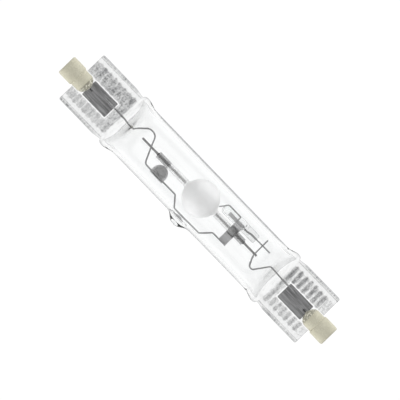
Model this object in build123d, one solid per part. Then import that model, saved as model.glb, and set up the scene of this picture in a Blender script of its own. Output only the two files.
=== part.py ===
from build123d import *
import os
from math import cos, pi, radians, sin, sqrt

# A double-ended metal halide lamp. It lies on its round outer bulb, with the flat seals
# horizontal. X runs along the lamp, from the left cap to the right cap. The two caps share one
# axis, over the origin. The exhaust tip points to -Y.

# Whole lamp
overall_length = 135.4
contact_recess = 1.7

# Outer bulb: a quartz tube, flattened at both ends
bulb_diameter = 21.5
bulb_wall = 1.3
bulb_offset = 0.8  # the bulb's axis lies this far from the caps' axis, towards +Y
left_seal_length = 20.6
right_seal_length = 20.2
seal_width = 22.6
seal_rail_thickness = 4.6
seal_rail_width = 2.8
seal_web_thickness = 3.2
seal_corner_radius = 1.0
seal_edge_radius = 0.9
waist_width = 21.5
waist_taper_length = 4.0
left_shoulder_length = 6.2
right_shoulder_length = 5.4
shoulder_bulge = 1.1
cavity_end_gap = 0.7  # the hollow closes to a slit of this height
cavity_start = 0.38  # share of the shoulder's length, from the waist, where the hollow begins
rib_pitch = 2.43
rib_width = 1.5
rib_height = 0.3
rib_count = 7
rib_inset = 1.6  # from the inner end of the web to the first rib
foil_land = 0.5  # plain glass left between a foil and the ribs beside it

# Exhaust tip, where the pumping tube was melted off
tip_position = -0.7
tip_length = 9.5
tip_width = 7.0
tip_height = 2.3
tip_flat = 2.6

# Ceramic caps
cap_diameter = 8.15
cap_head_length = 6.0
cap_neck_diameter = 7.3
cap_neck_length = 4.0
cap_overlap = 3.1  # the neck reaches this far over the seal
cap_edge_radius = 0.7
cap_bore_diameter = 4.8
cement_gap = 0.15
cement_length = 2.3
cement_tip_height = 0.05

# Contacts and outer leads
contact_seat_diameter = 3.7  # the step at the recess's floor that holds the contact
contact_thickness = 0.8
contact_clearance = 0.05
contact_stem_diameter = 1.6
contact_dome = 0.3
lead_socket_depth = 2.0
outer_lead_diameter = 0.55
outer_lead_inset = 1.9  # from the foil's outer end to the end of the lead on it

# Molybdenum foils, embedded in the seals
foil_length = 11.6
foil_width = 6.8
foil_thickness = 0.1
left_foil_inset = 4.6  # from the seal's outer end
right_foil_inset = 4.8

# Burner: one piece of translucent ceramic, a ball with two capillaries
burner_offset = 1.3  # from the caps' axis
burner_centre = 0.2  # along X
ball_diameter = 13.9
ball_wall = 0.9
ball_blend = 1.2
capillary_diameter = 2.57
capillary_bore = 1.05
burner_length = 43.6

# Feedthroughs and electrodes
niobium_diameter = 0.86
niobium_reach = 5.8  # inside the capillary
left_niobium_length = 13.8
right_niobium_length = 12.7
frit_bead_diameter = 1.7
frit_bead_length = 0.45
electrode_rod_diameter = 0.5
electrode_sleeve_diameter = 0.8
electrode_sleeve_length = 9.0
electrode_head_diameter = 1.2
electrode_head_length = 2.4
electrode_head_turns = 4
electrode_nose = 0.5
electrode_gap = 2.6
dose_diameter = 2.4
dose_height = 0.35

# Bent wires
frame_wire_diameter = 0.6
frame_wire_spacing = 5.6  # from the burner's axis to the long run beside it
frame_wire_gap = 0.4  # between the wire's dip and the bulb's inner wall
right_lead_diameter = 0.55
right_lead_crossing = 3.15  # past the capsule's end, where the lead crosses the pin
right_lead_dip = 5.85  # from the burner's axis down to the corner of the lead's U
uv_lead_diameter = 0.55
starting_wire_diameter = 0.43
wire_clearance = 0.03

# Getter
getter_width = 6.2
getter_sheet = 0.15
getter_inset = 5.1  # from the burner's left end to the middle of the flag
getter_clearance = 0.05
getter_fold_depth = 1.2
getter_disc_diameter = 4.8
getter_disc_thickness = 0.3
getter_channel_depth = 0.12
getter_channel_width = 0.9

# Coupling strap
strap_inset = 5.4  # from the burner's right end to the middle of the strap
strap_width = 3.36
strap_thickness = 0.15
strap_clearance = 0.25  # round the capillary

# Starting aid: a small quartz capsule with a foil inside
uv_diameter = 3.93
uv_length = 16.8
uv_reach = 8.75  # from the middle of the strap to its domed left end
uv_gap = 0.73  # between the capsule and the capillary
uv_wall = 0.6
uv_seal_length = 5.7
uv_end_radius = 0.8
uv_foil_length = 7.5
uv_foil_width = 1.4
uv_foil_inset = 3.2  # from the capsule's domed end

# Worked out from the sizes above
bulb_radius = bulb_diameter / 2
bore_radius = bulb_radius - bulb_wall
half_length = overall_length / 2
seal_end = half_length - cap_head_length - cap_neck_length + cap_overlap
neck_end = half_length - cap_head_length - cap_neck_length
contact_face = half_length - contact_recess
slot_depth = cap_overlap + cement_gap
ball_radius = ball_diameter / 2
capillary_radius = capillary_diameter / 2
lead_height = foil_thickness / 2 + outer_lead_diameter / 2
pin_front = niobium_diameter / 2 + 0.01
frame_wire_level = burner_offset - frame_wire_spacing
capillary_edge = burner_offset - capillary_radius
uv_radius = uv_diameter / 2
uv_offset = burner_offset + capillary_radius + uv_gap + uv_radius
strap_position = burner_centre + burner_length / 2 - strap_inset
getter_position = burner_centre - burner_length / 2 + getter_inset
uv_position = strap_position - uv_reach
uv_end = uv_position + uv_length

parts = {}


def at(x, y=0.0, z=0.0):
    """A place in the lamp's frame, with z measured from the caps' axis."""
    return Pos(x, y, z)


def along_x(shape):
    """Turns a shape made about Z so that its own +Z points to +X."""
    return Rot(0, 90, 0) * shape


def rod(diameter, length):
    """A round rod along +X that starts at X zero."""
    return along_x(Cylinder(diameter / 2, length, align=(Align.CENTER, Align.CENTER, Align.MIN)))


def block(length, width, height):
    """A block that starts at X zero, centred on the X axis."""
    return Box(length, width, height, align=(Align.MIN, Align.CENTER, Align.CENTER))


def mirrored(shape, side):
    """The same shape at the other end of the lamp, for side +1. Shapes are drawn for side -1."""
    return shape if side < 0 else shape.mirror(Plane.YZ)


# Outer bulb


def quarter_points(half_width, half_height, squareness, count=5):
    """Points on a quarter of a rounded section, from +Y round to +Z."""
    share = 2 / squareness
    turns = [radians(90 * i / count) for i in range(1, count)]
    inner = [(half_width * cos(a) ** share, half_height * sin(a) ** share) for a in turns]
    return [(half_width, 0), *inner, (0, half_height)]


def section(x, half_width, half_height, squareness=2.0):
    """A closed section across the lamp at x, an ellipse at squareness 2 and fuller above it."""
    plane = Plane(origin=(x, bulb_offset, 0), x_dir=(0, 1, 0), z_dir=(1, 0, 0))
    first = quarter_points(half_width, half_height, squareness)
    second = [(-y, z) for y, z in reversed(first)]
    third = [(-y, -z) for y, z in first]
    fourth = [(-y, -z) for y, z in second]
    up, left, down, right = (0, 1), (-1, 0), (0, -1), (1, 0)
    edges = [
        Spline(*first, tangents=(up, left)),
        Spline(*second, tangents=(left, down)),
        Spline(*third, tangents=(down, right)),
        Spline(*fourth, tangents=(right, up)),
    ]
    return plane * make_face(edges)


def round_section(x, radius):
    """A round section across the lamp at x, in the same four quarters as the others."""
    plane = Plane(origin=(x, bulb_offset, 0), x_dir=(0, 1, 0), z_dir=(1, 0, 0))
    quarters = [CenterArc((0, 0), radius, 90 * i, 90) for i in range(4)]
    return plane * make_face(quarters)


def shoulder_width(share):
    """Half the shoulder's width, from the waist at 0 to the tube at 1, with its bulge."""
    waist = waist_width / 2
    return waist + (bulb_radius - waist) * share + shoulder_bulge * sin(pi * share**0.576)


def shoulder_height(share):
    """Half the shoulder's thickness, from the seal at 0 to the tube at 1."""
    root = seal_rail_thickness / 2
    return root + (bulb_radius - root) * sin(pi / 2 * share) ** 1.15


def shoulder_body(waist_x, length):
    """The glass between the flat seal and the round tube, without its hollow."""
    sections = []
    for share in (0.0, 0.12, 0.3, 0.52, 0.76):
        squareness = 2 + 2.6 * (1 - share) ** 2
        sections.append(
            section(waist_x + length * share, shoulder_width(share), shoulder_height(share), squareness)
        )
    sections.append(round_section(waist_x + length, bulb_radius))
    return loft(sections)


def shoulder_hollow(waist_x, length):
    """The hollow inside a shoulder, which narrows to a slit as the walls come together."""
    sections = []
    for share in (0.0, 0.15, 0.4, 0.7):
        along = cavity_start + (1 - cavity_start) * share
        half_width = shoulder_width(along) - bulb_wall - 0.5 * (1 - share)
        half_height = cavity_end_gap / 2 + (bore_radius - cavity_end_gap / 2) * sin(pi / 2 * share) ** 0.9
        sections.append(section(waist_x + length * along, half_width, half_height, 2 + 0.6 * (1 - share)))
    sections.append(round_section(waist_x + length, bore_radius))
    return loft(sections)


def shoulder_ear(waist_x, length, way):
    """The pocket that the hollow leaves at each edge of the seal, past its slit."""
    sections = []
    for share, out, size in ((0.62, 0.70, 1.9), (0.42, 0.76, 1.25), (0.2, 0.82, 0.5)):
        plane = Plane(
            origin=(waist_x + length * share, bulb_offset + way * out * bulb_radius, 0),
            x_dir=(0, 1, 0),
            z_dir=(1, 0, 0),
        )
        sections.append(plane * Ellipse(size, size * 0.7))
    return loft(sections)


def neck_curve(x_from, x_to, y_from, y_to):
    """A smooth step from one width to another, level at both ends."""
    middle = (x_from + x_to) / 2
    return Bezier((x_from, y_from), (middle, y_from), (middle, y_to), (x_to, y_to))


def seal_plan(seal_length):
    """The seal seen from above: straight edges that draw in towards the waist."""
    half, waist = seal_width / 2, waist_width / 2
    outer, inner = -seal_end, -seal_end + seal_length
    taper = inner - waist_taper_length
    centre = bulb_offset
    reach = inner + 1.0
    edges = [
        Line((outer, centre - half), (outer, centre + half)),
        Line((outer, centre + half), (taper, centre + half)),
        neck_curve(taper, inner, centre + half, centre + waist),
        Line((inner, centre + waist), (reach, centre + waist)),
        Line((reach, centre + waist), (reach, centre - waist)),
        Line((reach, centre - waist), (inner, centre - waist)),
        neck_curve(taper, inner, centre - half, centre - waist),
        Line((taper, centre - half), (outer, centre - half)),
    ]
    return make_face(edges)


def seal_rib(x, y_from, y_to):
    """One low rounded rib across the web, on its upper face."""
    crown = Plane(origin=(x, y_from, seal_web_thickness / 2), x_dir=(1, 0, 0), z_dir=(0, 1, 0))
    half = rib_width / 2
    root = -0.2
    profile = make_face(
        [
            ThreePointArc((-half, 0), (0, -rib_height), (half, 0)),
            Line((half, 0), (half, -root)),
            Line((half, -root), (-half, -root)),
            Line((-half, -root), (-half, 0)),
        ]
    )
    return extrude(crown * profile, y_to - y_from)


def seal_ribs(seal_length, foil_inset):
    """The ribs that the press leaves on both faces, kept clear of the foil and of the cap."""
    web_half = seal_width / 2 - seal_rail_width
    low, high = bulb_offset - web_half - 0.2, bulb_offset + web_half + 0.2
    clear = max(foil_width, cap_neck_diameter) / 2 + foil_land
    foil_inner = -seal_end + foil_inset + foil_length + foil_land
    ribs = []
    for i in range(rib_count):
        x = -seal_end + seal_length - rib_inset - rib_pitch * i
        beside = x - rib_width / 2 < foil_inner
        spans = ((low, -clear), (clear, high)) if beside else ((low, high),)
        for start, end in spans:
            rib = seal_rib(x, start, end)
            ribs += [rib, rib.mirror(Plane.XY)]
    return ribs


def seal_body(seal_length, foil_inset):
    """A flat pressed seal: a web with ribs between two thick rails."""
    slab = extrude(seal_plan(seal_length), seal_rail_thickness / 2, both=True)
    corners = slab.edges().filter_by(Axis.Z).group_by(Axis.X)[0]
    slab = fillet(corners, seal_corner_radius)
    rims = [edge for face in slab.faces().filter_by(Axis.Z) for edge in face.edges()]
    outer_rims = [edge for edge in rims if edge.center().X < -seal_end + seal_length - 0.5]
    slab = fillet(outer_rims, seal_edge_radius)
    web_half = seal_width / 2 - seal_rail_width
    pocket_depth = (seal_rail_thickness - seal_web_thickness) / 2
    pocket_end = -seal_end + seal_length - rib_inset + rib_width
    pocket = block(pocket_end + seal_end + 1, 2 * web_half, 2 * pocket_depth)
    for way in (-1, 1):
        slab -= at(-seal_end - 1, bulb_offset, way * seal_rail_thickness / 2) * pocket
    for rib in seal_ribs(seal_length, foil_inset):
        slab += rib
    return slab


def exhaust_tip():
    """The lopsided nipple of glass on the tube's side, steeper towards the left cap."""
    wall = bulb_radius - bulb_wall * 0.55
    sections = []
    for rise, length, width, shift in (
        (0.0, tip_length, tip_width, 0.9),
        (0.45, tip_length * 0.74, tip_width * 0.8, 0.45),
        (0.8, tip_length * 0.48, tip_width * 0.52, 0.1),
        (1.0, tip_flat, tip_flat * 0.8, 0.0),
    ):
        y = bulb_offset - wall - (bulb_radius + tip_height - wall) * rise
        plane = Plane(origin=(tip_position + shift, y, 0), x_dir=(1, 0, 0), z_dir=(0, -1, 0))
        sections.append(plane * Ellipse(length / 2, width / 2))
    tip = loft(sections)
    crest = tip.faces().sort_by(Axis.Y)[0]
    return fillet(crest.edges(), 0.35)


def make_outer_bulb(embedded):
    """The whole outer bulb in one piece, with its hollow and a place for all that is sealed in."""
    left_waist = -seal_end + left_seal_length
    right_waist = -seal_end + right_seal_length
    left_tube = left_waist + left_shoulder_length
    right_tube = -(right_waist + right_shoulder_length)
    solid = extrude(round_section(left_tube, bulb_radius), right_tube - left_tube)
    hollow = extrude(round_section(left_tube, bore_radius), right_tube - left_tube)
    ends = (
        (-1, left_waist, left_shoulder_length, left_seal_length, left_foil_inset),
        (1, right_waist, right_shoulder_length, right_seal_length, right_foil_inset),
    )
    for side, waist, length, seal_length, foil_inset in ends:
        solid += mirrored(shoulder_body(waist, length), side)
        solid += mirrored(seal_body(seal_length, foil_inset), side)
        hollow += mirrored(shoulder_hollow(waist, length), side)
        for way in (-1, 1):
            hollow += mirrored(shoulder_ear(waist, length, way), side)
    solid += exhaust_tip()
    solid -= hollow
    for piece in embedded:
        solid -= piece
    return solid


# Ends: caps, cement, contacts, outer leads and foils, drawn for the left end


def make_cap():
    """A ceramic cap: a round head, and a neck with a slot that takes the flat seal."""
    length = cap_head_length + cap_neck_length
    head = rod(cap_diameter, cap_head_length)
    head = fillet(head.edges().sort_by(Axis.X)[0], cap_edge_radius)
    head = fillet(head.edges().sort_by(Axis.X)[-1], cap_edge_radius / 2)
    neck = Pos(cap_head_length / 2, 0, 0) * rod(cap_neck_diameter, length - cap_head_length / 2)
    neck = chamfer(neck.edges().sort_by(Axis.X)[-1], 0.3)
    body = head + neck
    body -= rod(cap_bore_diameter, contact_recess)
    body -= rod(contact_seat_diameter, contact_recess + contact_thickness)
    body -= rod(contact_stem_diameter + 2 * contact_clearance, length)
    slot = block(slot_depth + 1, cap_diameter + 2, seal_web_thickness + 2 * cement_gap)
    body -= Pos(length - slot_depth, 0, 0) * slot
    return at(-half_length) * body


def make_cement(cap, bulb, lead, foil):
    """Cement that fills the slot round the seal and stands out as a bead on both faces."""
    neck_radius = cap_neck_diameter / 2
    web_half = seal_web_thickness / 2
    start = -neck_end
    root = neck_radius - 0.1
    tip = web_half + cement_tip_height
    outline = make_face(
        [
            Line((start, 0), (start, root)),
            Bezier(
                (start, root),
                (start + cement_length * 0.6, root),
                (start + cement_length, root * 0.75),
                (start + cement_length, tip),
            ),
            Line((start + cement_length, tip), (start + cement_length, 0)),
            Line((start + cement_length, 0), (start, 0)),
        ]
    )
    bead = revolve(outline, Axis.X)
    fill = block(slot_depth, cap_neck_diameter, seal_web_thickness + 2 * cement_gap)
    fill &= rod(cap_neck_diameter - 0.1, slot_depth)
    return bead + at(-neck_end - slot_depth) * fill - cap - bulb - lead - foil


def make_contact():
    """A metal contact with a domed face, riveted through the cap by a stem bored for the lead."""
    face = at(-contact_face) * rod(contact_seat_diameter - 2 * contact_clearance, contact_thickness)
    face = fillet(face.edges().sort_by(Axis.X)[0], contact_dome)
    stem = at(-contact_face) * rod(contact_stem_diameter, contact_face - neck_end - slot_depth)
    socket = at(-neck_end - slot_depth - lead_socket_depth, 0, lead_height) * rod(
        outer_lead_diameter, lead_socket_depth
    )
    return face + stem - socket


def make_outer_lead(foil_inset):
    """The wire from the contact through the seal to the foil, on the foil's upper face."""
    start = -neck_end - slot_depth - lead_socket_depth
    end = -seal_end + foil_inset + outer_lead_inset
    return at(start, 0, lead_height) * rod(outer_lead_diameter, end - start)


def make_foil(foil_inset):
    """A thin strip of foil, which carries the current through the glass."""
    return at(-seal_end + foil_inset) * block(foil_length, foil_width, foil_thickness)


# Burner


def ball_profile(radius, tube_radius, reach, blend):
    """Half a section through a ball with a tube on each side, blended where they meet."""
    meet = sqrt((radius + blend) ** 2 - (tube_radius + blend) ** 2)
    share = radius / (radius + blend)
    touch = (meet * share, (tube_radius + blend) * share)
    lean = sqrt(0.5)
    arc_x = meet - (meet - touch[0]) * 0.62
    arc_y = tube_radius + blend - sqrt(blend**2 - (arc_x - meet) ** 2)
    return make_face(
        [
            Line((-reach, 0), (-reach, tube_radius)),
            Line((-reach, tube_radius), (-meet, tube_radius)),
            ThreePointArc((-meet, tube_radius), (-arc_x, arc_y), (-touch[0], touch[1])),
            ThreePointArc((-touch[0], touch[1]), (-radius * lean, radius * lean), (0, radius)),
            ThreePointArc((0, radius), (radius * lean, radius * lean), (touch[0], touch[1])),
            ThreePointArc((touch[0], touch[1]), (arc_x, arc_y), (meet, tube_radius)),
            Line((meet, tube_radius), (reach, tube_radius)),
            Line((reach, tube_radius), (reach, 0)),
            Line((reach, 0), (-reach, 0)),
        ]
    )


def make_arc_tube():
    """The ceramic burner: a hollow ball and two capillaries in one piece."""
    reach = burner_length / 2
    outside = ball_profile(ball_radius, capillary_radius, reach, ball_blend)
    inside = ball_profile(ball_radius - ball_wall, capillary_bore / 2, reach, ball_blend / 2)
    return at(burner_centre, burner_offset) * (revolve(outside, Axis.X) - revolve(inside, Axis.X))


def burner_end(side):
    """Where a capillary ends, along X."""
    return burner_centre + side * burner_length / 2


def make_niobium_pin(side, length):
    """The metal pin that closes a capillary and carries the current into it."""
    start = burner_end(side) - side * niobium_reach
    middle = start + side * length / 2
    pin = along_x(Cylinder(niobium_diameter / 2, length))
    pin = chamfer(pin.edges().filter_by(GeomType.CIRCLE), 0.08)
    return at(middle, burner_offset) * pin


def make_frit_seal(side):
    """Glass frit that fills the gap round the pin, with a small bead at the capillary's mouth."""
    inner = burner_end(side) - side * niobium_reach
    sleeve_length = niobium_reach
    sleeve = along_x(Cylinder(capillary_bore / 2, sleeve_length)) - along_x(
        Cylinder(niobium_diameter / 2, sleeve_length)
    )
    sleeve = at(inner + side * sleeve_length / 2, burner_offset) * sleeve
    cone = Cone(frit_bead_diameter / 2, niobium_diameter / 2 + 0.05, frit_bead_length) - Cylinder(
        niobium_diameter / 2, frit_bead_length
    )
    bead = Rot(0, 90 * side, 0) * cone
    bead = at(burner_end(side) + side * frit_bead_length / 2, burner_offset) * bead
    return sleeve + bead


def make_electrode(side):
    """A tungsten electrode: a sleeved rod, a wound head near its end and a rounded nose."""
    start = niobium_reach - burner_length / 2
    tip = -electrode_gap / 2
    sleeve_end = start + electrode_sleeve_length
    head_end = tip - electrode_nose
    head_start = head_end - electrode_head_length
    pitch = electrode_head_length / electrode_head_turns
    rod_radius = electrode_rod_diameter / 2
    sleeve_radius = electrode_sleeve_diameter / 2
    crest = electrode_head_diameter / 2
    valley = crest - 0.35 * pitch
    outline = [
        Line((start, 0), (start, sleeve_radius)),
        Line((start, sleeve_radius), (sleeve_end, sleeve_radius)),
        Line((sleeve_end, sleeve_radius), (sleeve_end, rod_radius)),
        Line((sleeve_end, rod_radius), (head_start, rod_radius)),
        Line((head_start, rod_radius), (head_start, valley)),
        Line((head_end, valley), (head_end, rod_radius)),
        Line((head_end, rod_radius), (tip - rod_radius, rod_radius)),
        CenterArc((tip - rod_radius, 0), rod_radius, 0, 90),
        Line((tip, 0), (start, 0)),
    ]
    for turn in range(electrode_head_turns):
        x = head_start + pitch * turn
        outline.append(ThreePointArc((x, valley), (x + pitch / 2, crest), (x + pitch, valley)))
    electrode = revolve(make_face(outline), Axis.X)
    return at(burner_centre, burner_offset) * mirrored(electrode, side)


def make_halide_dose():
    """A shallow pool of salt that has settled on the floor of the ball."""
    floor = ball_radius - ball_wall
    puddle = Cylinder(dose_diameter / 2, dose_height * 3, align=(Align.CENTER, Align.CENTER, Align.MIN))
    puddle = fillet(puddle.edges().sort_by(Axis.Z)[-1], dose_height * 0.8)
    sag = floor - sqrt(floor**2 - (dose_diameter / 2) ** 2)
    lift = sag + dose_height - dose_height * 3
    return at(burner_centre, burner_offset) * ((Pos(0, 0, -floor + lift) * puddle) & Sphere(floor))


# Bent wires


def bent_wire(corners, radii, diameter):
    """A round wire along straight runs with a bend at each inner corner."""
    path = FilletPolyline(*corners, radius=radii)
    start = Plane(origin=path @ 0, z_dir=path % 0)
    return sweep(start * Circle(diameter / 2), path=path)


def frame_wire_route():
    """The left lead: over the pin, under the ball and back up to the strap, with its bends."""
    radius = frame_wire_diameter / 2
    on_foil = foil_thickness / 2 + radius
    over_pin = pin_front + radius
    seal_inner = -seal_end + left_seal_length
    run = burner_end(-1) - seal_inner
    level = frame_wire_level
    dip = bulb_offset - bore_radius + frame_wire_gap + radius
    corners = [
        (-seal_end + left_foil_inset + foil_length - 4.4, burner_offset + 0.2, on_foil),
        (seal_inner + 0.054 * run, burner_offset + 0.1, on_foil),
        (seal_inner + 0.29 * run, burner_offset - 0.35, over_pin),
        (seal_inner + 0.64 * run, burner_offset + 6.0, over_pin),
        (seal_inner + 0.944 * run, level - 0.1, over_pin),
        (burner_centre - ball_radius - 0.45, level, over_pin),
        (burner_centre - ball_radius + 2.85, dip, over_pin),
        (burner_centre + ball_radius + 1.45, dip + 0.1, over_pin),
        (burner_centre + ball_radius + 4.8, level + 0.15, over_pin),
        (strap_position + strap_width / 2, level + 0.2, over_pin),
    ]
    return corners, [0.16 * run, 0.14 * run, 0.134 * run, 0.09 * run, 1.0, 0.8, 0.8, 1.0]


def right_lead_route():
    """The right lead: from its foil down, round and up across the pin and the capsule's lead."""
    radius = right_lead_diameter / 2
    on_foil = foil_thickness / 2 + radius
    over_pin = pin_front + radius
    seal_inner = seal_end - right_seal_length
    crossing = uv_end + right_lead_crossing
    corners = [
        (seal_end - right_foil_inset - foil_length + 3.4, burner_offset + 0.7, on_foil),
        (seal_inner - 0.3, burner_offset + 0.85, on_foil),
        (crossing + 7.05, burner_offset + 1.05, over_pin),
        (crossing + 2.15, burner_offset - right_lead_dip, over_pin),
        (crossing + 0.2, burner_offset - 0.5, over_pin),
        (crossing, uv_offset + 2.8, over_pin),
    ]
    return corners, [2.5, 2.2, 1.15, 2.5]


def starting_wire_route():
    """The antenna: from the ball over the capsule's shoulder, across it and down to the strap."""
    radius = starting_wire_diameter / 2
    lift = uv_radius + radius
    rise = 0.8 * uv_radius
    beside = sqrt(lift**2 - rise**2)
    over = lift + strap_thickness + 0.12
    corner_x = strap_position - strap_width / 2 + 0.1
    lean = radians(22)
    stand = ball_radius + radius
    corners = [
        (burner_centre + stand * cos(lean), burner_offset + stand * sin(lean), 1.1),
        (uv_position + 1.15, uv_offset + rise, beside + 0.05),
        (corner_x, uv_offset + rise, beside + 0.35),
        (corner_x, uv_offset + 0.9, over),
        (corner_x, uv_offset - 0.72, over),
        (strap_position + strap_width / 2 - 0.8, uv_offset - 0.72, over),
    ]
    return corners, [0.7, 0.3, 0.25, 0.3]


def uv_lead_route():
    """The capsule's lead, from its foil through the capsule's seal to the right lead."""
    radius = uv_lead_diameter / 2
    start = uv_position + uv_foil_inset + uv_foil_length - 1.0
    behind = pin_front - radius
    seal_inner = uv_end - uv_seal_length
    corners = [
        (start, uv_offset - 0.3, foil_thickness / 2 + radius),
        (seal_inner + 1.2, uv_offset - 0.3, foil_thickness / 2 + radius),
        (seal_inner + 3.0, uv_offset, behind),
        (uv_end + right_lead_crossing + 3.2, uv_offset + 0.2, behind),
    ]
    return corners, [1.5, 1.5]


def make_wire(route, diameter):
    """A wire along a route, as a pair of corners and bend radii."""
    corners, radii = route
    return bent_wire(corners, radii, diameter)


# Getter, strap and capsule


def getter_back():
    """The height of the flag's back face, so that the disc's front meets the frame wire."""
    return pin_front - wire_clearance - getter_disc_thickness - getter_sheet


def make_getter_holder():
    """A small flag with a round top, folded forward at its foot under the frame wire."""
    half = getter_width / 2
    top = capillary_edge - getter_clearance
    shelf = frame_wire_level - frame_wire_diameter / 2 - 0.35
    crown = top - half
    outline = make_face(
        [
            Line((-half, shelf), (half, shelf)),
            Line((half, shelf), (half, crown)),
            ThreePointArc((half, crown), (0, top), (-half, crown)),
            Line((-half, crown), (-half, shelf)),
        ]
    )
    flag = at(getter_position, 0, getter_back()) * extrude(outline, getter_sheet)
    fold = Box(
        getter_width, getter_sheet, getter_fold_depth, align=(Align.CENTER, Align.MAX, Align.MIN)
    )
    return flag + at(getter_position, shelf, getter_back()) * fold


def make_getter_disc():
    """A round pan with a ring channel for the getter, on the front of the flag."""
    radius = getter_disc_diameter / 2
    disc = Cylinder(radius, getter_disc_thickness, align=(Align.CENTER, Align.CENTER, Align.MIN))
    outer = radius - 0.35
    inner = outer - getter_channel_width
    ring = Cylinder(outer, getter_channel_depth) - Cylinder(inner, getter_channel_depth)
    disc -= Pos(0, 0, getter_disc_thickness - getter_channel_depth / 2) * ring
    centre = capillary_edge - getter_clearance - radius
    return at(getter_position, centre, getter_back() + getter_sheet) * disc


def make_strap():
    """A ribbon from the frame wire, behind the capillary and up across the front of the capsule."""
    front = pin_front - wire_clearance - strap_thickness / 2
    clear = capillary_radius + strap_clearance
    between = burner_offset + capillary_radius + uv_gap / 2
    path = FilletPolyline(
        (frame_wire_level - 0.05, front),
        (burner_offset - clear - 0.3, front),
        (burner_offset - clear + 0.35, -clear),
        (between - 0.6, -clear - 0.2),
        (between + 0.42, uv_radius - 0.5),
        (uv_offset - 0.5, uv_radius + 0.14),
        radius=[0.4, 0.35, 0.35, 0.4],
    )
    ribbon = trace(path, strap_thickness)
    plane = Plane(origin=(strap_position, 0, 0), x_dir=(0, 1, 0), z_dir=(1, 0, 0))
    return extrude(plane * ribbon, strap_width / 2, both=True)


def make_uv_capsule(lead, foil):
    """A small quartz capsule with a domed end, a hollow and a solid sealed end."""
    body = rod(uv_diameter, uv_length)
    rims = body.edges().filter_by(GeomType.CIRCLE).sort_by(Axis.X)
    body = fillet(rims[-1], uv_end_radius)
    rims = body.edges().filter_by(GeomType.CIRCLE).sort_by(Axis.X)
    body = fillet(rims[0], uv_radius * 0.95)
    inner = uv_radius - uv_wall
    hollow = rod(2 * inner, uv_length - uv_seal_length - uv_wall)
    hollow = fillet(hollow.edges().filter_by(GeomType.CIRCLE), inner * 0.8)
    body -= Pos(uv_wall, 0, 0) * hollow
    return at(uv_position, uv_offset) * body - lead - foil


def make_uv_foil():
    """The strip of foil inside the capsule, which acts as its electrode."""
    place = at(uv_position + uv_foil_inset, uv_offset - 0.3)
    return place * block(uv_foil_length, uv_foil_width, foil_thickness)


# Assembly

frame_wire = make_wire(frame_wire_route(), frame_wire_diameter)
right_lead = make_wire(right_lead_route(), right_lead_diameter)
frame_channel = make_wire(frame_wire_route(), frame_wire_diameter + 2 * wire_clearance)
right_channel = make_wire(right_lead_route(), right_lead_diameter + 2 * wire_clearance)

ends = {"left": (-1, left_foil_inset), "right": (1, right_foil_inset)}
leads = {name: mirrored(make_outer_lead(inset), side) for name, (side, inset) in ends.items()}
foils = {name: mirrored(make_foil(inset), side) for name, (side, inset) in ends.items()}
embedded = [*leads.values(), *foils.values(), frame_channel, right_channel]
parts["outer_bulb"] = make_outer_bulb(embedded)

for name, (side, inset) in ends.items():
    cap = mirrored(make_cap(), side)
    parts[f"{name}_cap"] = cap
    parts[f"{name}_contact"] = mirrored(make_contact(), side)
    parts[f"{name}_outer_lead"] = leads[name]
    parts[f"{name}_foil"] = foils[name]
    bulb = mirrored(parts["outer_bulb"], side)
    cement = make_cement(make_cap(), bulb, make_outer_lead(inset), make_foil(inset))
    parts[f"{name}_cement"] = mirrored(cement, side)

parts["arc_tube"] = make_arc_tube()
for name, side, length in (
    ("left", -1, left_niobium_length),
    ("right", 1, right_niobium_length),
):
    parts[f"{name}_niobium_pin"] = make_niobium_pin(side, length)
    parts[f"{name}_frit_seal"] = make_frit_seal(side)
    parts[f"{name}_electrode"] = make_electrode(side)
parts["halide_dose"] = make_halide_dose()

parts["frame_wire"] = frame_wire
parts["right_lead_wire"] = right_lead
parts["getter_holder"] = make_getter_holder()
parts["getter_disc"] = make_getter_disc()
parts["coupling_strap"] = make_strap()
uv_lead = make_wire(uv_lead_route(), uv_lead_diameter)
uv_foil = make_uv_foil()
parts["uv_capsule"] = make_uv_capsule(uv_lead, uv_foil)
parts["uv_foil"] = uv_foil
parts["uv_lead"] = uv_lead
parts["starting_wire"] = make_wire(starting_wire_route(), starting_wire_diameter)

os.makedirs("parts", exist_ok=True)
for name, shape in parts.items():
    placed = Pos(0, 0, bulb_radius) * shape
    solids = placed.solids()
    print(name, len(solids), round(sum(s.volume for s in solids), 3))
    export_step(solids[0] if len(solids) == 1 else Compound(solids), f"parts/{name}.step")
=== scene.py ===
import logging
from dataclasses import dataclass, field
from enum import Enum
from math import ceil, cos, pi, radians, sin, sqrt
from typing import Sequence

import bmesh
import bpy
import numpy as np
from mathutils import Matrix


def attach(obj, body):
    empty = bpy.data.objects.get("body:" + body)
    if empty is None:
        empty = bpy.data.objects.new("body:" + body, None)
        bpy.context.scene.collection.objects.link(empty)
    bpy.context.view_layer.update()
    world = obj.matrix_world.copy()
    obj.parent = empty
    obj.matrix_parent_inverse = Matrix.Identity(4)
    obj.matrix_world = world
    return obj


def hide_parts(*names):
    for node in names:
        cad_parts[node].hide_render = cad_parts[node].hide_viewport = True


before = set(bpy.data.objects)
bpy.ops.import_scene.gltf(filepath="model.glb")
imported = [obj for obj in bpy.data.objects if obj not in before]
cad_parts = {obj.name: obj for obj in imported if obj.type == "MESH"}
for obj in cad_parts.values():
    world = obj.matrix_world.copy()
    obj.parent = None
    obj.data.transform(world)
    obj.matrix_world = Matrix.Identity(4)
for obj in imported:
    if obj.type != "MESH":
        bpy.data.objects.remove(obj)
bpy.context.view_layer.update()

LOG = logging.getLogger("lamp")
MM = 0.001
AXIS_HEIGHT = 10.75  # the caps' axis above the surface that the lamp lies on, in millimetres

Array = np.ndarray
Colour = tuple[float, float, float]
Socket = bpy.types.NodeSocket


# Shapes


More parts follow.
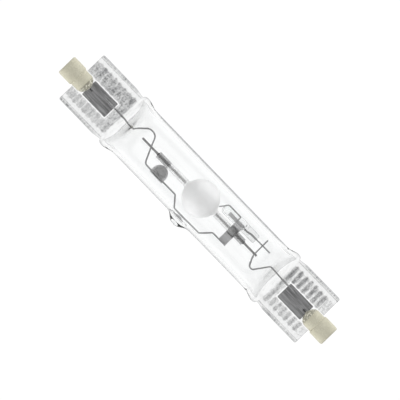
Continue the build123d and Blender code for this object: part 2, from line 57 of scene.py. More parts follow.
def smooth(value: Array) -> Array:
    """A step from 0 to 1 that is level at both ends: 3t^2 - 2t^3 of the clipped value."""
    part = np.clip(value, 0.0, 1.0)
    return part * part * (3 - 2 * part)


def unit(vectors: Array) -> Array:
    """The same directions at length one, along the last axis."""
    return vectors / np.maximum(np.linalg.norm(vectors, axis=-1, keepdims=True), 1e-12)


def circle(count: int, shift: float = 0.0) -> Array:
    """Angles at an even pitch round a circle, shifted by a share of the pitch."""
    return (np.arange(count) + shift) * 2 * pi / count


def spread(*parts: Array | float) -> Array:
    """Points from their x, y and z, which are spread over the same rows and columns."""
    return np.stack(np.broadcast_arrays(*parts), axis=-1)


def lattice_noise(points: Array, cell: float, seed: int) -> Array:
    """Smooth random values at points.

    Every corner of a cubic lattice has a value hashed from its indices. A point mixes the eight
    values round it, each weighted by a smooth step of the point's place in its cell.

    Args:
        points: places in millimetres, with x, y and z on the last axis.
        cell: width of a lattice cell in millimetres.
        seed: picks one of many patterns.

    Returns:
        Values from -1 to 1, one per point.
    """
    scaled = points / cell
    base = np.floor(scaled).astype(np.int64)
    part = smooth(scaled - base)
    total = np.zeros(points.shape[:-1])
    for corner in np.ndindex(2, 2, 2):
        index = base + np.array(corner)
        mixed = index[..., 0] * 73856093 ^ index[..., 1] * 19349663 ^ index[..., 2] * 83492791
        mixed = (mixed ^ seed * 668265263) & 0x7FFFFFFF
        mixed = (mixed ^ mixed >> 13) * 1274126177 & 0x7FFFFFFF
        mixed = (mixed ^ mixed >> 11) & 0xFFFF
        weight = np.prod(np.where(np.array(corner), part, 1 - part), axis=-1)
        total += weight * (mixed / 32767.5 - 1)
    return total


@dataclass
class Surface:
    """A surface of quads, in millimetres about the caps' axis, with values kept at its points."""

    points: Array
    quads: Array
    values: dict[str, Array] = field(default_factory=dict)

    def volume(self) -> float:
        """Signed volume: the sum of the tetrahedra from the origin to each half quad.

        Returns:
            The volume, positive where the faces point outwards.
        """
        a, b, c, d = (self.points[self.quads[:, i]] for i in range(4))
        first = np.einsum("ij,ij->i", a, np.cross(b, c))
        second = np.einsum("ij,ij->i", a, np.cross(c, d))
        return float((first.sum() + second.sum()) / 6)

    def facing(self, outward: bool) -> "Surface":
        """The same surface with all its faces outward, or all inward."""
        turned = (self.volume() > 0) != outward
        return Surface(self.points, self.quads[:, ::-1] if turned else self.quads, self.values)

    def joined(self, other: "Surface") -> "Surface":
        """Both surfaces as one. A value that one of them lacks is zero there.

        Args:
            other: the surface to add.

        Returns:
            One surface with the points of both.
        """
        values = {}
        for name in dict.fromkeys((*self.values, *other.values)):
            kept = [part.values.get(name, np.zeros(len(part.points))) for part in (self, other)]
            values[name] = np.concatenate(kept)
        quads = np.concatenate([self.quads, other.quads + len(self.points)])
        return Surface(np.concatenate([self.points, other.points]), quads, values)

    def replace(self, node: str, name: str, finish: "Finish") -> bpy.types.Object:
        """Makes the mesh object that stands for a CAD node, with poles and seams merged.

        It is in metres in the lamp's frame, and rides on the lamp's one body.

        Args:
            node: the CAD node.
            name: the piece's name.
            finish: its finish.

        Returns:
            The linked object.
        """
        mesh = bpy.data.meshes.new(name)
        placed = (self.points + np.array([0.0, 0.0, AXIS_HEIGHT])) * MM
        mesh.from_pydata(placed.tolist(), [], self.quads.tolist())
        for key, value in self.values.items():
            layer = mesh.attributes.new(key, "FLOAT", "POINT")
            layer.data.foreach_set("value", value.astype(np.float32))
        work = bmesh.new()
        work.from_mesh(mesh)
        bmesh.ops.remove_doubles(work, verts=work.verts, dist=2e-7)
        bmesh.ops.dissolve_degenerate(work, edges=work.edges, dist=1e-8)
        work.to_mesh(mesh)
        work.free()
        mesh.polygons.foreach_set("use_smooth", np.ones(len(mesh.polygons), dtype=bool))
        mesh.materials.append(finish.make())
        mesh.update()
        piece = bpy.data.objects.new(name, mesh)
        bpy.context.scene.collection.objects.link(piece)
        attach(piece, "root")
        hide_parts(node)
        LOG.info("%s: %d faces", name, len(mesh.polygons))
        return piece


def ring_surface(rings: Array, closed: bool = False) -> Surface:
    """Quads between rings of points.

    Args:
        rings: rows of rings, each ring closed on itself.
        closed: joins the last ring to the first, as round a torus.

    Returns:
        The surface, with points in the rings' order.
    """
    rows, columns = rings.shape[:2]
    row = np.arange(rows if closed else rows - 1)[:, None]
    column = np.arange(columns)[None, :]
    after, beside = (row + 1) % rows * columns, (column + 1) % columns
    corners = (row * columns + column, row * columns + beside, after + beside, after + column)
    quads = np.stack(np.broadcast_arrays(*corners), axis=-1).reshape(-1, 4)
    return Surface(rings.reshape(-1, 3), quads)


def turned(
    along: Array, radius: Array, offset: float = 0.0, count: int = 96, closed: bool = False
) -> Surface:
    """A profile turned round a line parallel to X.

    Each ring stands at x = along, and its points at y = offset + r cos(a), z = r sin(a).

    Args:
        along: place of each profile point along X.
        radius: its distance from the line.
        offset: where the line lies, along Y.
        count: points in a ring.
        closed: the profile is a loop.

    Returns:
        The turned surface.
    """
    angle, radius = circle(count), radius[:, None]
    rings = spread(along[:, None], offset + radius * np.cos(angle), radius * np.sin(angle))
    return ring_surface(rings, closed)


def rounded_route(corners: Sequence[Sequence[float]], radii: Sequence[float], step: float) -> Array:
    """Points along straight runs that arcs join.

    An arc touches both of its runs at radius * tan(half the turn) from their corner.

    Args:
        corners: the route's corners, with its two ends.
        radii: the arc's radius at each inner corner.
        step: distance between points.

    Returns:
        The points in order.
    """
    places = np.array(corners, float)
    pieces, last = [], places[0]
    for before, corner, after, radius in zip(places, places[1:], places[2:], radii):
        arrive, leave = unit(corner - before), unit(after - corner)
        turn = float(np.arccos(np.clip(arrive @ leave, -1, 1)))
        start = corner - arrive * radius * np.tan(turn / 2)
        middle = corner + unit(leave - arrive) * radius / np.cos(turn / 2)
        run = max(2, ceil(float(np.linalg.norm(start - last)) / step) + 1)
        pieces.append(last + (start - last) * np.linspace(0, 1, run)[:-1, None])
        angle = np.linspace(0, turn, max(5, ceil(turn * radius / step) + 1))[:, None]
        arc = middle + np.cos(angle) * (start - middle) + np.sin(angle) * radius * arrive
        pieces.append(arc[:-1])
        last = arc[-1]
    run = max(2, ceil(float(np.linalg.norm(places[-1] - last)) / step) + 1)
    pieces.append(last + (places[-1] - last) * np.linspace(0, 1, run)[:, None])
    return np.concatenate(pieces)


def tube_along(route: Array, radius: float, count: int = 16) -> Surface:
    """A round wire with slightly domed ends along a route.

    At each point a circle stands across the route, on its sideways and its upward direction. Past
    both ends three smaller circles close the wire, the last of them to a point.

    Args:
        route: points along the wire's middle.
        radius: half the wire's diameter.
        count: points round the wire.

    Returns:
        The closed wire.
    """
    along = unit(np.gradient(route, axis=0))
    out = np.array([0.30, 0.22, 0.10])[:, None] * radius  # how far past the end each circle stands
    share = np.array([0.0, 0.6, 0.93])  # and its share of the wire's radius
    route = np.concatenate([route[0] - out * along[0], route, route[-1] + out[::-1] * along[-1]])
    along = np.concatenate([along[:1].repeat(3, 0), along, along[-1:].repeat(3, 0)])
    size = np.concatenate([share, np.ones(len(route) - 6), share[::-1]])[:, None, None] * radius
    side = unit(np.cross(along, np.array([0.0, 0.0, 1.0])))[:, None, :]
    over = np.cross(side[:, 0], along)[:, None, :]
    angle = circle(count)[:, None]
    rings = route[:, None, :] + size * (side * np.cos(angle) + over * np.sin(angle))
    return ring_surface(rings).facing(True)


# Finishes


class Pattern(Enum):
    """What the fine structure of a surface looks like."""

    GRAIN = "fine grain"
    DRAWN = "drawn lines"
    GRANULES = "cement granules"


class Graph:
    """A node tree, with short ways to add and join its nodes."""

    def __init__(self, tree: bpy.types.NodeTree) -> None:
        """Keeps the tree."""
        self.tree = tree

    def put(self, kind: str, **settings: object) -> bpy.types.Node:
        """Adds a shader node of that kind and sets its properties.

        Args:
            kind: the node's type, without the prefix that all shader nodes share.
            **settings: the properties by name.

        Returns:
            The node.
        """
        made = self.tree.nodes.new(f"ShaderNode{kind}")
        for key, value in settings.items():
            setattr(made, key, value)
        return made

    def join(self, value: object, place: Socket) -> None:
        """Links a socket to an input, or sets the input to a value. A colour has three numbers.

        Args:
            value: a socket, a number, a vector or a colour.
            place: the input.
        """
        if isinstance(value, Socket):
            self.tree.links.new(value, place)
        else:
            place.default_value = (*value, 1.0) if place.type == "RGBA" else value

    def feed(self, node: bpy.types.Node, **inputs: object) -> bpy.types.Node:
        """Joins values to a node's inputs. An underscore stands for a space in an input's name.

        Args:
            node: the node to feed.
            **inputs: a socket or value for each input.

        Returns:
            The same node.
        """
        for key, value in inputs.items():
            self.join(value, node.inputs[key.replace("_", " ")])
        return node

    def mix(self, share: Socket, low: object, high: object, kind: str = "RGBA") -> Socket:
        """A colour, or a number where kind is FLOAT, between low and high by share.

        Args:
            share: 0 for low and 1 for high.
            low: a socket, colour or number.
            high: as low.
            kind: RGBA or FLOAT.

        Returns:
            The mixed value.
        """
        node = self.put("Mix", data_type=kind)
        first, result = (6, 2) if kind == "RGBA" else (2, 0)
        self.join(share, node.inputs[0])
        self.join(low, node.inputs[first])
        self.join(high, node.inputs[first + 1])
        return node.outputs[result]

    def ranged(self, value: Socket, low: float, high: float, start: float = 0.0, stop: float = 1.0) -> Socket:
        """A smooth step from low to high as the input goes from start to stop.

        Args:
            value: the input.
            low: the result up to start.
            high: the result from stop on.
            start: where the step begins.
            stop: where it ends.

        Returns:
            The result.
        """
        node = self.put("MapRange", interpolation_type="SMOOTHSTEP")
        self.feed(node, Value=value, From_Min=start, From_Max=stop, To_Min=low, To_Max=high)
        return node.outputs[0]

    def calc(self, operation: str, *values: object) -> Socket:
        """A Math node of that operation on sockets or numbers.

        Args:
            operation: its name in Blender.
            *values: what it works on.

        Returns:
            The result.
        """
        node = self.put("Math", operation=operation)
        for place, value in zip(node.inputs, values):
            self.join(value, place)
        return node.outputs[0]

    def rays(self, *kinds: str) -> Socket:
        """1 for rays of those kinds and 0 for the others.

        Args:
            *kinds: Camera, Glossy, Transmission, Shadow or Diffuse.

        Returns:
            The mask.
        """
        path = self.put("LightPath")
        share = path.outputs[f"Is {kinds[0]} Ray"]
        for kind in kinds[1:]:
            share = self.calc("MAXIMUM", share, path.outputs[f"Is {kind} Ray"])
        return share

    def value(self, name: str) -> Socket:
        """The value of that name that the mesh keeps at its points."""
        return self.put("Attribute", attribute_name=name).outputs["Fac"]

    def place(self) -> Socket:
        """Where a point lies on the piece."""
        return self.put("TexCoord").outputs["Object"]

    def pattern(self, pattern: Pattern, size: float) -> bpy.types.Node:
        """A pattern's shared group, with features of that size in millimetres."""
        group = self.put("Group", node_tree=pattern_group(pattern))
        return self.feed(group, Vector=self.place(), Size=size)

    def bump(self, height: Socket, depth: float) -> Socket:
        """A normal from a height, with its depth in millimetres."""
        node = self.feed(self.put("Bump"), Height=height, Distance=depth * MM, Strength=1.0)
        return node.outputs[0]

    def shade(self, **inputs: object) -> None:
        """Feeds the Principled BSDF."""
        self.feed(self.tree.nodes["Principled BSDF"], **inputs)

    def show(self, kind: str, *values: Socket) -> None:
        """Joins sockets to a last shader node of that kind, and that node to the output.

        Args:
            kind: the last node's type.
            *values: what its inputs get, in order.
        """
        last = self.put(kind)
        for place, value in zip(last.inputs, values):
            self.join(value, place)
        self.join(last.outputs[0], self.tree.nodes["Material Output"].inputs["Surface"])

    def let_through(self, share: Socket) -> None:
        """Lets a share of the rays pass as if nothing were there."""
        solid = self.tree.nodes["Principled BSDF"].outputs[0]
        self.show("MixShader", share, solid, self.put("BsdfTransparent").outputs[0])


def pattern_group(pattern: Pattern) -> bpy.types.NodeTree:
    """The shared node group of a pattern, made once.

    It takes a Vector in metres and the Size of one feature in millimetres, and gives Shade from 0
    to 1, Height for a bump, and Patches, which change slowly over the surface.

    Args:
        pattern: which structure it draws.

    Returns:
        The group.
    """
    if pattern.value in bpy.data.node_groups:
        return bpy.data.node_groups[pattern.value]
    tree = bpy.data.node_groups.new(pattern.value, "ShaderNodeTree")
    graph, face = Graph(tree), tree.interface
    face.new_socket("Vector", in_out="INPUT", socket_type="NodeSocketVector")
    face.new_socket("Size", in_out="INPUT", socket_type="NodeSocketFloat")
    for name in ("Shade", "Height", "Patches"):
        face.new_socket(name, in_out="OUTPUT", socket_type="NodeSocketFloat")
    given, result = tree.nodes.new("NodeGroupInput"), tree.nodes.new("NodeGroupOutput")
    place, scale = given.outputs["Vector"], graph.calc("DIVIDE", 1000.0, given.outputs["Size"])
    vector = place
    if pattern is Pattern.DRAWN:
        vector = graph.feed(graph.put("Mapping"), Vector=place, Scale=(0.06, 1.0, 1.0)).outputs[0]
    fine = graph.feed(graph.put("TexNoise"), Vector=vector, Scale=scale, Detail=5.0, Roughness=0.62)
    slow = graph.feed(graph.put("TexNoise"), Vector=place, Scale=graph.calc("MULTIPLY", scale, 0.11))
    height, darkest = fine.outputs[0], 0.3
    if pattern is Pattern.GRANULES:
        cells = graph.feed(graph.put("TexVoronoi"), Vector=vector, Scale=scale)
        height = graph.calc("SUBTRACT", height, graph.calc("MULTIPLY", cells.outputs[0], 0.7))
        darkest = 0.05
    graph.feed(
        result,
        Shade=graph.ranged(height, 0.0, 1.0, darkest, darkest + 0.4),
        Height=height,
        Patches=graph.ranged(slow.outputs[0], 0.0, 1.0, 0.35, 0.65),
    )
    return tree


@dataclass(frozen=True)
class Finish:
    """What all finishes share: a name, a slot and a material that is built once."""

    name: str
    slot: str

    def make(self) -> bpy.types.Material:
        """The material, built at its first use.

        Returns:
            The material.
        """
        if self.name not in bpy.data.materials:
            material = bpy.data.materials.new(self.name)
            material.use_nodes = True
            self.paint(Graph(material.node_tree))
        return bpy.data.materials[self.name]

    def paint(self, graph: Graph) -> None:
        """Adds the finish's own nodes to a new material."""
        raise NotImplementedError

    def dress(self, node: str) -> None:
        """Gives a carried-over CAD node this finish, in each of its material slots.

        Args:
            node: the CAD node's name.
        """
        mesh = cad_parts[node].data
        if not mesh.materials:
            mesh.materials.append(self.make())
        for index in range(len(mesh.materials)):
            mesh.materials[index] = self.make()
        LOG.info("%s: dressed with %s", node, self.name)


@dataclass(frozen=True)
class SolidFinish(Finish):
    """An opaque finish: two colours mixed by a pattern, with slow patches and a fine bump."""

    low: Colour
    high: Colour
    rough: tuple[float, float]
    metallic: float = 0.0
    pattern: Pattern = Pattern.GRAIN
    size: float = 0.25
    depth: float = 0.02
    patches: float = 0.12

    def paint(self, graph: Graph) -> None:
        """Adds the nodes. The low colour is darker and the high one rarer in the patches.

        Args:
            graph: the new material's nodes.
        """
        group = graph.pattern(self.pattern, self.size)
        shade, slow = group.outputs["Shade"], group.outputs["Patches"]
        dark = tuple(value * (1 - self.patches) for value in self.low)
        share = graph.calc("MULTIPLY", shade, graph.ranged(slow, 1 - 3 * self.patches, 1.0))
        graph.shade(
            Base_Color=graph.mix(share, dark, self.high),
            Roughness=graph.ranged(shade, self.rough[1], self.rough[0]),
            Normal=graph.bump(group.outputs["Height"], self.depth),
            Metallic=self.metallic,
        )


@dataclass(frozen=True)
class QuartzFinish(Finish):
    """Clear fused quartz, dulled where the press has marked it, with painted shade there and at
    its edges, which are painted dark where the glass is seen edge on.

    The mesh keeps three values: press; shade, the painted shade; and rim, which sets how dark
    the painted edge shade looks.
    """

    clear: Colour = (0.985, 0.99, 0.99)
    # the colour that the painted shade darkens the glass towards
    pressed: Colour = (0.06, 0.063, 0.066)
    # the colour of the painted dark edges, mixed in as the facing goes from rim_from to rim_to
    rim: Colour = (0.06, 0.065, 0.07)
    rim_from: float = 0.54
    rim_to: float = 0.84
    pressed_rough: float = 0.12
    ior: float = 1.46

    def paint(self, graph: Graph) -> None:
        """Adds the nodes. Lamps and bounced light pass through, as they do through quartz.

        Args:
            graph: the new material's nodes.
        """
        grain = graph.pattern(Pattern.GRAIN, 0.45)
        press = graph.value("press")
        # painted shade: the mesh's shade value, varied by the grain
        painted_shade = graph.calc("MULTIPLY", graph.value("shade"), graph.ranged(grain.outputs["Shade"], 0.45, 1.0))
        # faint drawn lines of the quartz itself, added to the painted shade
        tint = graph.calc("MULTIPLY", graph.pattern(Pattern.DRAWN, 1.6).outputs["Shade"], 0.014)
        facing = graph.put("LayerWeight").outputs["Facing"]
        # painted dark edges: the glass darkens where its surface is seen edge on
        painted_edge_shade = graph.ranged(facing, 0.0, 1.0, self.rim_from, self.rim_to)
        glass = graph.mix(graph.calc("ADD", painted_shade, tint), self.clear, self.pressed)
        graph.shade(
            Base_Color=graph.mix(graph.calc("MULTIPLY", painted_edge_shade, graph.value("rim")), glass, self.rim),
            Roughness=graph.calc("MULTIPLY", press, self.pressed_rough),
            Normal=graph.bump(graph.calc("MULTIPLY", grain.outputs["Height"], press), 0.06),
            Transmission_Weight=1.0,
            Specular_IOR_Level=0.3,
            IOR=self.ior,
        )
        graph.let_through(graph.rays("Shadow", "Diffuse"))


@dataclass(frozen=True)
class BurnerFinish(Finish):
    """Translucent white alumina: part scattered, part blurred light from what is inside.

    Past stain_from, along X from stain_middle, the dark frit inside stains it.
    """

    low: Colour = (0.93, 0.93, 0.93)
    high: Colour = (0.985, 0.985, 0.985)
    through: float = 0.2
    rough: tuple[float, float] = (0.30, 0.42)
    ior: float = 1.12
    stain: float = 0.0
    stained: Colour = (0.14, 0.14, 0.14)
    stain_middle: float = 0.75
    stain_from: float = 16.75
    stain_blur: float = 0.2
    unshadowed: float = 0.6

    def paint(self, graph: Graph) -> None:
        """Adds the nodes. Part of the lamps' light passes through without a shadow.

        Args:
            graph: the new material's nodes.
        """
        group = graph.pattern(Pattern.GRAIN, 0.35)
        colour = graph.mix(group.outputs["Patches"], self.low, self.high)
        if self.stain:
            x = graph.feed(graph.put("SeparateXYZ"), Vector=graph.place()).outputs["X"]
            out = graph.calc("ABSOLUTE", graph.calc("SUBTRACT", x, self.stain_middle * MM))
            start, stop = ((self.stain_from + blur) * MM for blur in (-self.stain_blur, self.stain_blur))
            colour = graph.mix(graph.ranged(out, 0.0, self.stain, start, stop), colour, self.stained)
        graph.shade(
            Base_Color=colour,
            Roughness=graph.ranged(group.outputs["Shade"], *self.rough),
            Normal=graph.bump(group.outputs["Height"], 0.008),
            Transmission_Weight=self.through,
            IOR=self.ior,
        )
        graph.let_through(graph.calc("MULTIPLY", graph.rays("Shadow"), self.unshadowed))


def grey(value: float, blue: float = 0.0) -> Colour:
    """A grey, with a little more blue where given."""
    return (value, value, value + blue)


def drawn(
    name: str, slot: str, low: Colour, high: Colour, rough: tuple[float, float], *looks: float
) -> SolidFinish:
    """A drawn or rolled metal, whose looks are metallic, the lines' size and their depth."""
    return SolidFinish(name, slot, low, high, rough, looks[0], Pattern.DRAWN, *looks[1:])


QUARTZ = QuartzFinish("fused_quartz", "quartz")
BALL_ALUMINA = BurnerFinish("ball_alumina", "burner_ceramic")
CAPILLARY_ALUMINA = BurnerFinish(
    "capillary_alumina", "burner_ceramic", grey(0.82), grey(0.92), 0.84, (0.12, 0.2), 1.2, 0.54
)
CAP_CERAMIC = SolidFinish(
    "cap_steatite", "cap_ceramic", (0.61, 0.585, 0.45), (0.73, 0.705, 0.57), (0.5, 0.75), size=0.35
)
CEMENT = SolidFinish(
    "base_cement", "cement", (0.38, 0.365, 0.29), (0.95, 0.93, 0.80), (0.8, 0.95), 0.0,
    Pattern.GRANULES, 0.7, 0.12,
)
CONTACT = SolidFinish(
    "contact_plate", "contact_metal", (0.50, 0.48, 0.44), (0.68, 0.66, 0.62), (0.25, 0.45), 0.9,
    Pattern.GRAIN, 0.3, 0.01,
)
FRIT = SolidFinish("seal_frit", "frit", grey(0.03), grey(0.09, -0.002), (0.3, 0.5), size=0.2)
HALIDE = SolidFinish(
    "halide_salt", "halide", (0.50, 0.44, 0.28), (0.74, 0.68, 0.5), (0.5, 0.8), size=0.3, depth=0.03
)
GETTER_ALLOY = SolidFinish(
    "getter_powder", "getter_alloy", grey(0.37), grey(0.62), (0.6, 0.9), 0.2, Pattern.GRANULES, 0.22, 0.03
)
WIRE = drawn(
    "drawn_molybdenum", "molybdenum", grey(0.22, 0.002), grey(0.38, 0.005), (0.32, 0.55), 0.35, 0.09, 0.006
)
LEAD = drawn("dark_lead", "molybdenum", grey(0.02), grey(0.06), (0.5, 0.7), 0.4, 0.09, 0.006)
FOIL = drawn("etched_foil", "foil", grey(0.13, 0.003), grey(0.42, 0.005), (0.42, 0.62), 0.3, 0.6, 0.01)
STRAP = drawn("rolled_ribbon", "foil", grey(0.40, 0.003), grey(0.62, 0.005), (0.35, 0.55), 0.3, 0.2, 0.008)
NIOBIUM = drawn("niobium_rod", "niobium", grey(0.20), (0.34, 0.335, 0.33), (0.4, 0.6), 0.35, 0.12, 0.006)
TUNGSTEN = drawn("tungsten_rod", "tungsten", grey(0.30), grey(0.44), (0.4, 0.6), 0.3, 0.1, 0.006)
GETTER_SHEET = drawn(
    "getter_sheet", "getter_steel", grey(0.62, 0.005), grey(0.84, 0.005), (0.3, 0.5), 0.2, 0.2, 0.006
)


# Pieces, with all sizes in millimetres


@dataclass(kw_only=True)
class LampSizes:
    """Sizes that several of the lamp's classes use. A pair holds the left and the right value."""

    seal_end: float = 60.8
    seal_length: tuple[float, float] = (20.6, 20.2)
    foil_inset: tuple[float, float] = (4.6, 4.8)
    foil_length: float = 11.6
    foil_thickness: float = 0.1
    bulb_radius: float = 10.75
    bulb_wall: float = 1.3
    bulb_offset: float = 0.8
    burner_centre: float = 0.2
    burner_offset: float = 1.3
    burner_half: float = 21.8
    ball_radius: float = 6.95
    uv_start: float = 7.85
    uv_length: float = 16.8
    uv_radius: float = 1.965
    uv_offset: float = 5.28
    uv_seal: float = 5.7

    @property
    def bulb_bore(self) -> float:
        """Radius of the bulb's hollow."""
        return self.bulb_radius - self.bulb_wall

    @property
    def uv_end(self) -> float:
        """X of the starting capsule's flat end."""
        return self.uv_start + self.uv_length


@dataclass
class OuterBulb(LampSizes):
    """The quartz bulb: a tube whose two ends are pressed flat round the foils."""

    shoulder_length: tuple[float, float] = (6.2, 5.4)
    seal_half_width: float = 11.3
    rail_half: float = 2.3
    web_half: float = 1.6
    rail_width: float = 2.8
    waist_half: float = 10.75
    taper: float = 4.0
    bulge: float = 1.1
    bulge_skew: float = 0.576
    rise_start: float = 1.2
    rise_length: float = 11.0
    corner: float = 0.7
    edge: float = 0.5
    rib_pitch: float = 2.43
    rib_half: float = 0.75
    rib_height: float = 0.34
    rib_inset: float = 1.6
    rib_count: int = 7
    land_half: float = 3.9
    # strength of the web's painted shade and of its bars along the ribs, left and right
    web_shade: tuple[float, float] = (0.52, 0.26)
    bar_shade: tuple[float, float] = (0.18, 0.66)
    bar_half: float = 0.52
    # where the fine line of painted shade lies in from the seal's edge, and its half width
    line_inset: float = 1.3
    line_half: float = 0.16
    tip_place: float = -0.7
    tip_height: float = 2.25
    tip_flat: float = 0.6
    tip_fall: float = 3.9
    tip_skirt: float = 0.45
    hollow_end: float = 0.56
    hollow_bow: float = 0.38
    hollow_closing: float = 3.4
    hollow_points: int = 112
    hollow_rows: int = 30
    ring_points: int = 240

    def by_side(self, x: Array, pair: tuple[float, float]) -> Array:
        """The left value where x is negative and the right value elsewhere."""
        return np.where(x < 0, pair[0], pair[1])

    def depths(self, x: Array) -> tuple[Array, Array]:
        """How far x lies in from the seal's end, and in from the waist."""
        along = self.seal_end - np.abs(x)
        return along, along - self.by_side(x, self.seal_length)

    def stations(self) -> Array:
        """Places along X, close together on the seals and the exhaust tip.

        Returns:
            The places in order.
        """
        end, tip = self.seal_end, self.tip_place
        waist = [end - length for length in self.seal_length]
        tube = [place - length for place, length in zip(waist, self.shoulder_length)]
        spans = (
            (-end + 0.3, -waist[0], 97), (-waist[0], -tube[0], 25), (-tube[0], -tube[0] + 7, 15),
            (-tube[0] + 7, tip - 6, 8), (tip - 6, tip + 7, 47), (tip + 7, tube[1] - 7, 8),
            (tube[1] - 7, tube[1], 15), (tube[1], waist[1], 23),
        )
        rows = [np.linspace(start, stop, count)[:-1] for start, stop, count in spans]
        lip = np.array([0.0, 0.02, 0.07, 0.16])
        return np.concatenate([lip - end, *rows, np.linspace(waist[1], end - 0.3, 95), end - lip[::-1]])

    def half_sizes(self, x: Array) -> tuple[Array, Array, Array]:
        """Half width, half height and squareness of the section at x.

        The seal keeps its width but for round corners and a smooth draw-in to the waist. The
        shoulder's width runs straight from the waist to the tube plus a sine bulge. The height
        follows a smooth step that starts a little past the waist and ends inside the tube.

        Args:
            x: places along the lamp.

        Returns:
            The three values at each place.
        """
        along, past = self.depths(x)
        share = np.clip(past / self.by_side(x, self.shoulder_length), 0, 1)
        drawn_in = (self.seal_half_width - self.waist_half) * smooth(past / self.taper + 1)
        shoulder = self.waist_half + (self.bulb_radius - self.waist_half) * share
        shoulder = shoulder + self.bulge * np.sin(pi * share**self.bulge_skew)
        width = np.where(share > 0, shoulder, self.seal_half_width - drawn_in)
        opened = smooth((past - self.rise_start) / self.rise_length)
        height = self.rail_half + (self.bulb_radius - self.rail_half) * opened
        width = width - self.corner * (1 - np.sqrt(1 - np.clip(1 - along / self.corner, 0, 1) ** 2))
        height = height - self.edge * (1 - np.sqrt(1 - np.clip(1 - along / self.edge, 0, 1) ** 2))
        square = 2 + 1.2 * (1 - opened) ** 3 + 3.2 * (1 - smooth(share / 0.5))
        return width, height, np.where(opened >= 1, 2.0, square)

    def press_marks(self, x: Array, y: Array, face: Array) -> tuple[Array, Array, Array]:
        """How deep the press has sunk the web, and how marked it is there.

        The web lies between two scalloped edges and ends at the waist. Rounded ribs stand on it at
        an even pitch, drawn a little out of line, with finer lumps between them. A smooth land is
        left round the foil and the cap. The web gets painted shade, darker in bars on the ribs and on
        the +y half. The rails get painted shade too, most along a fine line beside the web, at their
        outer edges and at the seal's end.

        Args:
            x: places along the lamp.
            y: places across it, from the bulb's own axis.
            face: +1 on the upper face and -1 on the lower.

        Returns:
            The depth, the share of pressed texture and the share of painted shade.
        """
        along, past = self.depths(x)
        beyond = np.abs(y) - self.seal_half_width
        place = spread(x, y, face * 7.0)
        drift = lattice_noise(place, 2.6, 3) * 0.3 + lattice_noise(place, 1.1, 4) * 0.12
        scallop = 0.2 * np.cos(2 * pi * (past + self.rib_inset) / self.rib_pitch)
        web = 1 - smooth((beyond + self.rail_width - scallop - 0.5 * drift + 0.3) / 0.6)
        web *= smooth((0.1 - past + 0.5 * drift) / 0.7)
        count = (drift - past - self.rib_inset) / self.rib_pitch
        nearest = np.clip(np.round(count), 0, self.rib_count - 1)
        off_rib = (count - nearest) * self.rib_pitch
        rib = np.clip(1 - (off_rib / self.rib_half) ** 2, 0, 1)
        beside = 1 - smooth((np.abs(y + self.bulb_offset) - self.land_half + 0.2) / 0.5)
        before = 1 - smooth((along - self.by_side(x, self.foil_inset) - self.foil_length - 0.3) / 0.5)
        lumps = lattice_noise(place, 0.95, 5) * 0.10 + lattice_noise(place, 0.5, 6) * 0.05
        marked = web * (1 - 0.94 * beside * before)
        depth = (self.rail_half - self.web_half) * web
        depth = depth - marked * (self.rib_height * rib * (0.8 + drift) + lumps)
        cells = 1 - np.abs(lattice_noise(place * np.array([1.0, 0.45, 1.0]), 0.6, 7)) * 2.2
        streaks = lattice_noise(place * np.array([1.0, 0.22, 1.0]), 0.38, 9)
        # painted shade of the web: bars on the ribs, cells and streaks, a fifth less on the -y half
        bar = self.by_side(x, self.bar_shade) * np.exp(-((off_rib / self.bar_half) ** 2))
        shade = self.by_side(x, self.web_shade) + bar + 0.4 * np.clip(cells, 0, 1) + 0.3 * streaks
        shade = marked * (0.9 + 0.1 * np.clip(y / 3, -1, 1)) * np.clip(shade, 0, 1.1)
        # painted shade of the rails: a fine line beside the web, the outer edge and the seal's end
        line = np.exp(-(((beyond + self.line_inset) / self.line_half) ** 2))
        edge = smooth((beyond + 0.4) / 0.2)
        brink = smooth((0.45 - along) / 0.3)
        rails = (0.2 + 0.8 * line + 0.6 * edge + 0.35 * brink) * (1 + 0.8 * drift)
        return depth, marked, shade + (1 - web) * rails

    def tip_rise(self, x: Array, around: Array) -> Array:
        """Height of the melted-off exhaust tip above the tube.

        It is flat in the middle and falls by a smooth step, steeper to the left, with a low skirt.

        Args:
            x: places along the lamp.
            around: arc length round the tube from the tip's middle.

        Returns:
            The height at each place.
        """
        out = x - self.tip_place
        away = np.sqrt((out / np.where(out < 0, 1.0, 1.28)) ** 2 + (around * 1.22) ** 2)
        knob = 1 - smooth((away - self.tip_flat) / self.tip_fall)
        skirt = np.exp(-(((out - 1.6) / 3.4) ** 2) - (around / 2.6) ** 2)
        return (self.tip_height - self.tip_skirt) * knob + self.tip_skirt * skirt

    def outside(self) -> Surface:
        """The bulb's outer surface.

        A section's point stands at y = width * cos(a) and at z = height * (1 - |cos(a)|^n)^(1/n),
        where n is the squareness, less what the press has sunk and out by the exhaust tip. The
        seals' and shoulders' outermost part gets painted shade, where the glass is seen edge on, and
        so does the solid glass just past the waist.

        Returns:
            The surface, with the values rim, press and shade, of which rim and shade carry painted shade.
        """
        angle = circle(self.ring_points, 0.5)
        x, across = np.broadcast_arrays(self.stations()[:, None], np.cos(angle))
        width, height, square = self.half_sizes(x)
        past = self.depths(x)[1]
        y, face = width * across, np.sign(np.sin(angle)) + 0 * x
        depth, marked, shade = self.press_marks(x, y, face)
        crest = self.seal_half_width - self.rail_width / 2
        rail = 0.22 * np.clip((np.abs(y) - crest) / 1.3, -1, 1) ** 2 * smooth(-past / 2.0)
        level = (1 - np.abs(across) ** square) ** (1 / square)
        z = face * level * (height - np.where(past < 0, np.maximum(depth, rail), 0.0))
        rise = self.tip_rise(x, (angle - pi) * self.bulb_radius)
        swell = 1 + np.where(np.abs(x) < 30, rise / self.bulb_radius, 0.0)
        y, z = y * swell, z * swell
